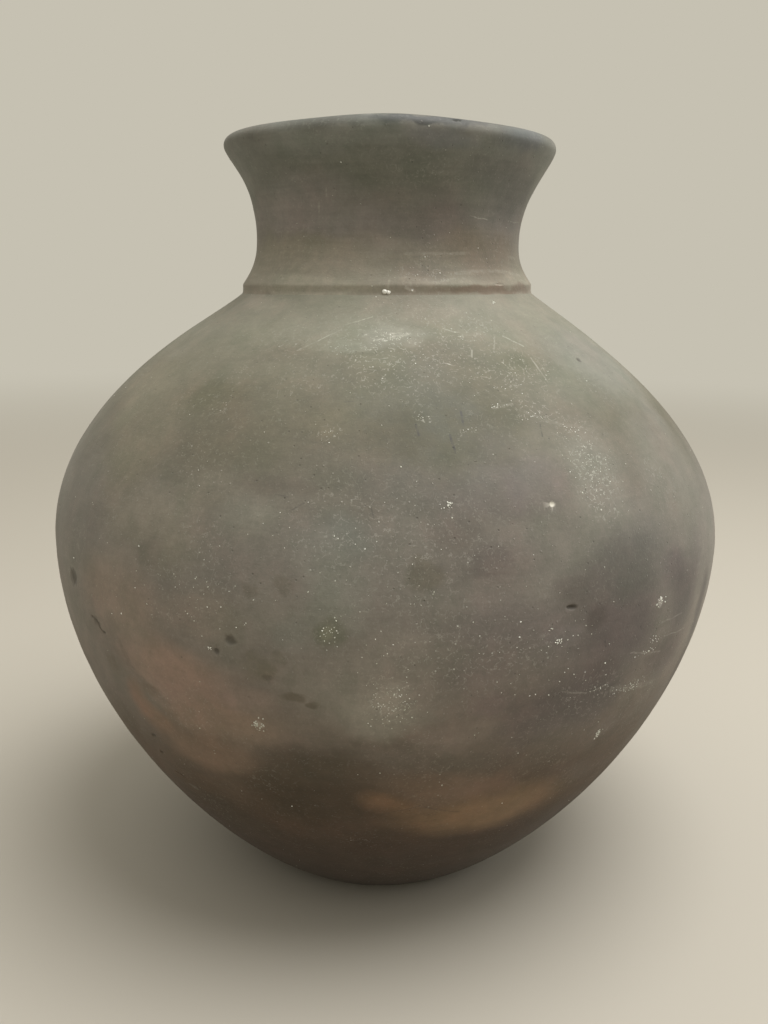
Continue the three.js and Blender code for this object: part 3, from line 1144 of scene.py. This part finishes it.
def plainClay(name, look, ringsRun=None):
    material, place = startClay(name)
    patches = noiseAt(place, *look["patches"])
    grain = noiseAt(place, *look["grain"]) if "grain" in look else patches
    colour = blendColour(rise(patches, *look["edges"]), look["dark"], look["pale"])
    relief = grain
    if "light" in look:
        shade = rise(grain, *look["light"])
        if ringsRun:
            rings = noiseAt(ringsRun(place), *look["rings"])
            shade = shade * rise(rings, *look["ringLight"])
            relief = rings + grain * look["grainRelief"]
        colour = blendColour(1.0, colour, grey(shade), "MULTIPLY")
    rough = rise(grain, *look["roughness"])
    return finishClay(material, colour, rough, relief, look["relief"], look["uniform"])


sharpAngle = 50  # degrees, over which an edge isn't smoothed


def makePiece(name, shape, materials):
    mesh = bpy.data.meshes.new(name)
    shape.to_mesh(mesh)
    shape.free()
    for material in materials:
        mesh.materials.append(material)
    mesh.polygons.foreach_set("use_smooth", [True] * len(mesh.polygons))
    mesh.set_sharp_from_angle(angle=math.radians(sharpAngle))
    piece = bpy.data.objects.new(name, mesh)
    bpy.context.scene.collection.objects.link(piece)
    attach(piece, "root")
    return piece


# Sooty clay inside, with the throwing rings' own shade
insideLook = {
    # size, detail and roughness of the patches, the grain and the rings
    "patches": (30 * mm, 4.0, 0.6),
    "grain": (1.2 * mm, 3.0, 0.7),
    "edges": (0.35, 0.65),  # between the dark and the pale patches
    "dark": tint(55, 50, 43),
    "pale": tint(120, 105, 85),
    "light": (0.25, 0.75, 0.8, 1.2),  # over this range of the grain, this range of light
    "roughness": (0.2, 0.8, 0.75, 0.9),
    "rings": (4 * mm, 2.0),
    "ringLight": (0.3, 0.7, 0.9, 1.1),
    "grainRelief": 1.0,
    "relief": 0.15 * mm,
    "uniform": {"Specular IOR Level": 0.3},
}
# Bare clay under the foot, ringed by the trimming tool
footLook = {
    "patches": (26 * mm, 3.0),
    "grain": (0.9 * mm, 3.0, 0.7),
    "edges": (0.35, 0.65),
    "dark": tint(160, 135, 100),
    "pale": tint(260, 225, 170),
    "light": (0.25, 0.75, 0.85, 1.15),
    "roughness": (0.2, 0.8, 0.8, 0.92),
    "rings": (1.1 * mm, 3.0, 0.6),
    "ringLight": (0.3, 0.7, 0.88, 1.12),
    "grainRelief": 0.5,
    "relief": 0.2 * mm,
    "uniform": {"Specular IOR Level": 0.3},
}

nearlyLevel = 0.9  # of a face's normal that points up or down
for shape in shapes.values():
    for face in shape.faces:
        face.material_index = 1 if facesInward(face) else 0
for face in bodyShape.faces:
    centre = face.calc_center_median()
    if face.normal.z < -nearlyLevel and centre.z < 1 * mm:
        face.material_index = 2
    elif face.normal.z > nearlyLevel and centre.z < seatHeight / 2:
        face.material_index = 1

insideClay = plainClay("insideClay", insideLook, upTheWall)
footClay = plainClay("footClay", footLook, outFromAxis)
body = makePiece("bodyWall", bodyShape, [bodyClay, insideClay, footClay])
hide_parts("body")
neck = makePiece("neckWall", neckShape, [neckClay, insideClay])
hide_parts("neck")
print("pieces made")

# Crusts of white ash and grit: where, grains, spread across and up in mm, grain size in mm
crusts = {
    "besidePit": ((210, 648), 6, 0.9, 0.7, 0.5),
    "yellowGreen": ((330, 634), 22, 3.6, 4.6, 0.4),
    "whiteCrust": ((260, 725.5), 28, 2.5, 2.4, 0.55),
    "whiteRight": ((660.8, 601.4), 26, 3.0, 2.2, 0.48),
    "whiteLow": ((558.6, 641.6), 14, 1.3, 1.1, 0.5),
    "whiteMiddle": ((449, 504), 12, 0.9, 1.3, 0.5),
    "besideMiddle": ((444, 508), 2, 0.4, 0.4, 0.4),
    # these three are pale grit, clustered here partly as painted glints where the shoulder catches the
    # overhead light
    "silverGlintShoulder": ((394, 337), 30, 8.5, 2.8, 0.3),
    "silverGlintBelow": ((345, 350), 14, 8.0, 3.0, 0.28),
    "silverGlintRight": ((592, 468), 56, 11.0, 14.0, 0.28),
    "chainLeft": ((501, 406), 9, 4.2, 1.6, 0.32),
    "chainMiddle": ((536, 418), 12, 5.5, 2.0, 0.32),
    "chainRight": ((574, 427), 12, 8.0, 2.2, 0.3),
    "paleMark": ((421, 418), 7, 3.4, 1.0, 0.3),
    "paleMarkRight": ((467, 430), 8, 3.0, 1.4, 0.3),
    "paleOlive": ((330, 432), 10, 6.0, 2.6, 0.28),
    "paleMiddle": ((392, 703), 90, 8.5, 9.0, 0.34),
    "streakLeft": ((597, 689), 14, 4.5, 1.2, 0.3),
    "streakRight": ((630, 686), 64, 9.5, 2.4, 0.32),
    "aboveStreak": ((648, 651), 14, 6.0, 0.6, 0.36),
    "greenRing": ((597.6, 733.8), 26, 1.2, 2.4, 0.45),
    "shoulderBlob": ((495, 303), 9, 1.1, 1.0, 0.42),
    "rightDots": ((655, 640), 18, 5.0, 3.0, 0.34),
    "lowRightDots": ((560, 665), 64, 30.0, 27.0, 0.36),
    "middleDots": ((400, 575), 60, 34.0, 30.0, 0.32),
    "leftDots": ((190, 590), 34, 24.0, 20.0, 0.32),
    "shoulderDots": ((470, 372), 44, 34.0, 16.0, 0.3),
    "whiteBehind": (("round", 188, 0.122), 28, 2.2, 1.9, 0.55),
    "silverBehind": (("round", 172, 0.212), 60, 8.0, 5.0, 0.36),
    "greenBehind": (("round", 214, 0.150), 30, 4.5, 4.0, 0.42),
    "whiteLeft": (("round", 281, 0.118), 20, 1.8, 1.6, 0.5),
    "silverLeft": (("round", 252, 0.190), 40, 6.0, 5.0, 0.34),
    "silverSide": (("round", 112, 0.150), 44, 6.0, 6.0, 0.36),
    "whiteSide": (("round", 134, 0.106), 18, 1.6, 1.5, 0.5),
    "onNeckBehind": (("round", 160, 0.262), 10, 2.0, 1.0, 0.35),
}
# Single white specks that show in the photograph, with the size in mm
dots = {
    (429, 126): 0.5, (341, 162): 0.5, (425, 257): 0.45, (478, 248): 0.4, (440, 273): 0.5,
    (372, 286): 0.45, (376, 297): 0.5, (586.5, 381): 0.5, (570, 332): 0.55, (625.5, 464): 0.5,
    (401, 467): 0.5, (452, 518): 0.5, (74, 558): 0.6, (139, 546): 0.6, (121.5, 613.5): 0.5,
    (112, 613.5): 0.45, (147, 604): 0.5, (221, 607): 0.45, (253.5, 600): 0.45, (360, 612): 0.4,
    (200, 728): 0.5, (519.5, 637): 0.5, (497, 682): 0.5, (492, 653): 0.45, (605, 663): 0.55,
    (585, 672): 0.45, (412, 717.5): 0.5, (518, 753): 0.45, (502, 803): 0.5, (442, 785): 0.45,
    (380, 773): 0.5, (292, 806): 0.6, (208, 587): 0.5, (246, 623): 0.45, (434, 592): 0.45,
}
grainSizes = {
    # as shares of the grain's size
    "across": (0.7, 1.25),
    "thick": (0.5, 0.9),
    "lumps": 0.22,
    "sunk": 0.35,
    "inCrusts": (0.6, 1.3),
    "drop": 20,  # mm over a crust, from where its grains fall on the wall
    "seed": 11,
}
looseGrit = {"grains": 620, "sizes": (0.22 * mm, 0.42 * mm), "aboveFoot": 8 * mm, "belowLip": 6 * mm}


def facing(normal):
    # turns a shape's up towards the normal
    return Matrix((*surfaceAxes(normal), normal)).transposed().to_4x4()


def addGrain(shape, centre, normal, size, draw):
    # one lumpy grain, partly sunk in the wall
    look = grainSizes
    seat = centre + normal * size * (0.5 - look["sunk"])
    stretch = [size * draw.uniform(*look["across"]) for _ in range(2)]
    stretch.append(size * draw.uniform(*look["thick"]))
    turned = Matrix.Rotation(draw.uniform(0, math.tau), 4, "Z")
    place = Matrix.Translation(seat) @ facing(normal) @ turned
    made = bmesh.ops.create_icosphere(
        shape, subdivisions=1, radius=0.5, matrix=place @ Matrix.Diagonal((*stretch, 1))
    )
    for vert in made["verts"]:
        vert.co += (vert.co - seat) * draw.uniform(-look["lumps"], look["lumps"])


def scatterCrusts():
    draw = random.Random(grainSizes["seed"])
    shape = bmesh.new()
    for where, grains, across, up, size in crusts.values():
        _, centre, normal = placeOf(where)
        side, rising = surfaceAxes(normal)
        for _ in range(grains):
            shift = side * draw.gauss(0, across * mm * 0.5) + rising * draw.gauss(0, up * mm * 0.5)
            start = centre + shift + normal * grainSizes["drop"] * mm
            _, point, out = nearestHit(start, -normal)
            addGrain(shape, point, out, size * mm * draw.uniform(*grainSizes["inCrusts"]), draw)
    for pixel, size in dots.items():
        _, point, out = seenAt(pixel)
        addGrain(shape, point, out, size * mm, draw)
    return shape


def scatterGrit():
    draw = random.Random(grainSizes["seed"] + 1)
    shape = bmesh.new()
    for _ in range(looseGrit["grains"]):
        height = draw.uniform(looseGrit["aboveFoot"], lipTop - looseGrit["belowLip"])
        _, point, out = standingAt(draw.uniform(0, 360), height)
        addGrain(shape, point, out, draw.uniform(*looseGrit["sizes"]), draw)
    return shape


crustLook = {
    "patches": (7 * mm, 2.0, 0.6),
    "grain": (0.3 * mm, 2.0, 0.6),
    "edges": (0.35, 0.65),
    "dark": tint(440, 440, 360),
    "pale": tint(760, 760, 700),
    "light": (0.3, 0.7, 0.8, 1.1),
    "roughness": (0.3, 0.7, 0.35, 0.6),
    "relief": 0.05 * mm,
    "uniform": {"Specular IOR Level": 0.5},
}
gritLook = {
    "patches": (9 * mm, 3.0, 0.7),
    "grain": (0.3 * mm, 2.0, 0.6),
    "edges": (0.4, 0.6),
    "dark": tint(200, 190, 150),
    "pale": tint(460, 450, 390),
    "light": (0.3, 0.7, 0.85, 1.1),
    "roughness": (0.3, 0.7, 0.45, 0.7),
    "relief": 0.05 * mm,
    "uniform": {"Specular IOR Level": 0.4},
}
crust = makePiece("ashCrust", scatterCrusts(), [plainClay("crustClay", crustLook)])
grit = makePiece("looseGrit", scatterGrit(), [plainClay("gritClay", gritLook)])

# Two touching beads of white glaze on the ledge: where and radius in mm
beads = {"left": ((384.6, 291.8), 0.95), "right": ((388.4, 292.4), 0.8), "smear": ((412, 290.5), 0.32)}
beadSizes = {"stretch": (1, 0.95, 0.72), "lumps": 0.16, "lumpSize": 0.9 * mm}


def makeBeads():
    shape = bmesh.new()
    for where, radius in beads.values():
        _, centre, normal = placeOf(where)
        stretch = Matrix.Diagonal((*beadSizes["stretch"], 1))
        place = Matrix.Translation(centre) @ facing(normal) @ stretch
        made = bmesh.ops.create_icosphere(shape, subdivisions=3, radius=radius * mm, matrix=place)
        for vert in made["verts"]:
            lump = noise.noise(vert.co / beadSizes["lumpSize"])
            vert.co += (vert.co - centre) * beadSizes["lumps"] * lump
    return shape


glazeLook = {
    "patches": (0.7 * mm, 3.0),
    "edges": (0.3, 0.7),
    "dark": tint(500, 480, 420),
    "pale": tint(780, 770, 720),
    "roughness": (0.3, 0.7, 0.12, 0.3),
    "relief": 0.03 * mm,
    "uniform": {"Coat Weight": 0.6, "Coat Roughness": 0.08},
}
glaze = makePiece("glazeBeads", makeBeads(), [plainClay("whiteGlaze", glazeLook)])
print("crusts, grit and beads made")

# Floor and soft studio light
studio = {
    "floorRadius": 6,
    "fade": (0.55, 2.4),  # the floor turns into the air between these distances
    "floorColour": tint(360, 335, 290),
    "floorRoughness": 0.9,
    "floorSpecular": 0.1,
    "wallAir": tint(565, 533, 445),  # round the horizon
    "ceilingAir": tint(1150, 1120, 1020),  # overhead
    "overhead": ((0.36, -0.24, 1.4), 1.0, 22),  # place, size and power
    "window": ((1.3, 0.1, 0.6), 0.9, 4),
    "aimHeight": 0.16,
    "airFade": (0.3, 0.9),
}


def makeFloor():
    shape = bmesh.new()
    bmesh.ops.create_circle(shape, cap_ends=True, segments=128, radius=studio["floorRadius"])
    mesh = bpy.data.meshes.new("floor")
    shape.to_mesh(mesh)
    shape.free()
    floor = bpy.data.objects.new("floor", mesh)
    bpy.context.scene.collection.objects.link(floor)
    material, place = startClay("floor")
    shader = material.node_tree.nodes["Principled BSDF"]
    shader.inputs["Base Color"].default_value = studio["floorColour"]
    shader.inputs["Roughness"].default_value = studio["floorRoughness"]
    shader.inputs["Specular IOR Level"].default_value = studio["floorSpecular"]
    distance = vectorMaths("LENGTH", place, (0, 0, 0), output="Value")
    air = Link.node("ShaderNodeEmission", {}, {"Color": studio["wallAir"]})
    near, far = studio["fade"]
    faded = Link.node(
        "ShaderNodeMixShader", {}, {0: rise(distance, near, far), 1: Link(shader.outputs[0]), 2: air}
    )
    output = material.node_tree.nodes["Material Output"]
    material.node_tree.links.new(faded.socket, output.inputs["Surface"])
    mesh.materials.append(material)


def makeLight(name, place, size, power):
    data = bpy.data.lights.new(name, "AREA")
    data.shape = "DISK"
    data.size = size
    data.energy = power
    light = bpy.data.objects.new(name, data)
    bpy.context.scene.collection.objects.link(light)
    aim = Vector((0, 0, studio["aimHeight"])) - Vector(place)
    light.matrix_world = Matrix.Translation(place) @ aim.to_track_quat("-Z", "Y").to_matrix().to_4x4()


def makeAir():
    # pale at the horizon and brighter overhead, as a room is
    world = bpy.data.worlds.new("studio")
    bpy.context.scene.world = world
    world.use_nodes = True
    Link.tree = world.node_tree
    direction = Link.node("ShaderNodeTexCoord", {}, {}, "Generated")
    height = Link.node("ShaderNodeSeparateXYZ", {}, {"Vector": direction}, "Z")
    colour = blendColour(rise(height, *studio["airFade"]), studio["wallAir"], studio["ceilingAir"])
    background = world.node_tree.nodes["Background"]
    world.node_tree.links.new(colour.socket, background.inputs["Color"])


makeFloor()
makeAir()
makeLight("overheadLight", *studio["overhead"])
makeLight("windowLight", *studio["window"])
bpy.context.scene.view_settings.view_transform = "Standard"
print("studio set")
